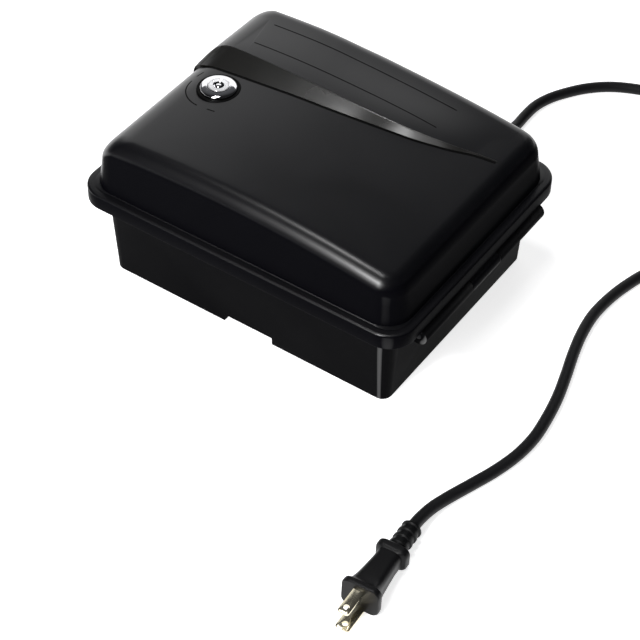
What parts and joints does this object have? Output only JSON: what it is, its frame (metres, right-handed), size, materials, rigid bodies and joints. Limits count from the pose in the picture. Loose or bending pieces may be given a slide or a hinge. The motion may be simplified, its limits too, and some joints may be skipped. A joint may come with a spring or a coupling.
{
  "type": "landscape lighting controller",
  "caption": "Outdoor wall box for low voltage garden lights: hinged crowned cover with a cam lock over a transformer, timer panel and terminals, with a mains lead and plug.",
  "frame": {"origin": "on the case's flat back face, at the object's base as it lies on its back, under the middle of the cover", "axes": "+Z out of the wall through the cover, +Y up the wall, +X to the right as seen from the front (the lock's side)"},
  "size_m": [0.3225, 0.4724, 0.1076],
  "materials": {
    "case_plastic": "black moulded plastic, satin, with a fine leathery grain",
    "cover_plastic": "black moulded plastic, semi-gloss, slightly orange-peeled",
    "gasket_rubber": "soft black rubber",
    "bezel_rubber": "dull black washer",
    "lock_chrome": "bright chrome plate with a light brushing on the face",
    "screw_steel": "zinc-plated steel",
    "bracket_steel": "pressed galvanised steel",
    "panel_plastic": "dark grey moulded plastic",
    "window_clear": "clear acrylic",
    "display_glass": "grey-green liquid crystal display",
    "board_resin": "green circuit board lacquer",
    "switch_plastic": "black phenolic plastic",
    "button_plastic": "light grey keys",
    "breaker_white": "white button",
    "core_steel": "varnished steel laminations",
    "bobbin_plastic": "natural nylon",
    "winding_tape": "yellow insulating tape over the windings",
    "terminal_brass": "plated brass",
    "lead_black": "black insulated wire",
    "lead_red": "red insulated wire",
    "cord_rubber": "smooth black flexible sheath with a soft sheen",
    "plug_rubber": "black moulded plug, satin",
    "blade_brass": "nickel-plated brass, slightly yellow"
  },
  "bodies": {
    "case": {"rear_case": "case_plastic", "hinge_pin": "screw_steel", "strike_bracket": "bracket_steel", "strike_screws": "screw_steel", "inner_panel": "panel_plastic", "panel_screws": "screw_steel", "display_window": "window_clear", "display_module": "display_glass", "circuit_board": "board_resin", "board_screws": "screw_steel", "tact_switches": "switch_plastic", "breaker_body": "switch_plastic", "breaker_nut": "screw_steel", "transformer_core": "core_steel", "transformer_bobbin": "bobbin_plastic", "transformer_winding": "winding_tape", "transformer_bolts": "screw_steel", "terminal_block": "switch_plastic", "terminal_plates": "terminal_brass", "terminal_screws": "screw_steel", "terminal_mounting_screws": "screw_steel", "supply_leads": "lead_black", "output_leads": "lead_red", "cable_grommets": "gasket_rubber", "cord_relief": "cord_rubber", "cord_tail": "cord_rubber", "cord_coil": "cord_rubber", "cord_lead": "cord_rubber", "plug_body": "plug_rubber", "blade_upper": "blade_brass", "blade_lower": "blade_brass"},
    "cover": {"front_cover": "cover_plastic", "cover_gasket": "gasket_rubber", "lock_bezel": "bezel_rubber", "lock_housing": "lock_chrome", "lock_nut": "screw_steel"},
    "lock": {"lock_plug": "lock_chrome", "lock_cam": "bracket_steel", "cam_screw": "screw_steel"},
    "menu_button": {"button_menu": "button_plastic"},
    "minus_button": {"button_minus": "button_plastic"},
    "plus_button": {"button_plus": "button_plastic"},
    "enter_button": {"button_enter": "button_plastic"},
    "breaker_popper": {"breaker_button": "breaker_white"}
  },
  "joints": [
    {"name": "cover_hinge", "type": "hinge", "parent": "case", "child": "cover", "pos_m": [-0.1055, 0, 0.0515], "axis": [0, -1, 0], "range_deg": [0, 120]},
    {"name": "lock_turn", "type": "hinge", "parent": "cover", "child": "lock", "pos_m": [0.067, 0.0045, 0.09], "axis": [0, 0, 1], "range_deg": [0, 90]},
    {"name": "menu_press", "type": "slide", "parent": "case", "child": "menu_button", "axis": [0, 0, -1], "range_m": [0, 0.001], "stiffness_N_per_m": 800, "springref_m": -0.0003},
    {"name": "minus_press", "type": "slide", "parent": "case", "child": "minus_button", "axis": [0, 0, -1], "range_m": [0, 0.001], "stiffness_N_per_m": 800, "springref_m": -0.0003},
    {"name": "plus_press", "type": "slide", "parent": "case", "child": "plus_button", "axis": [0, 0, -1], "range_m": [0, 0.001], "stiffness_N_per_m": 800, "springref_m": -0.0003},
    {"name": "enter_press", "type": "slide", "parent": "case", "child": "enter_button", "axis": [0, 0, -1], "range_m": [0, 0.001], "stiffness_N_per_m": 800, "springref_m": -0.0003},
    {"name": "breaker_pop", "type": "slide", "parent": "case", "child": "breaker_popper", "axis": [0, 0, 1], "range_m": [0, 0.003]}
  ]
}
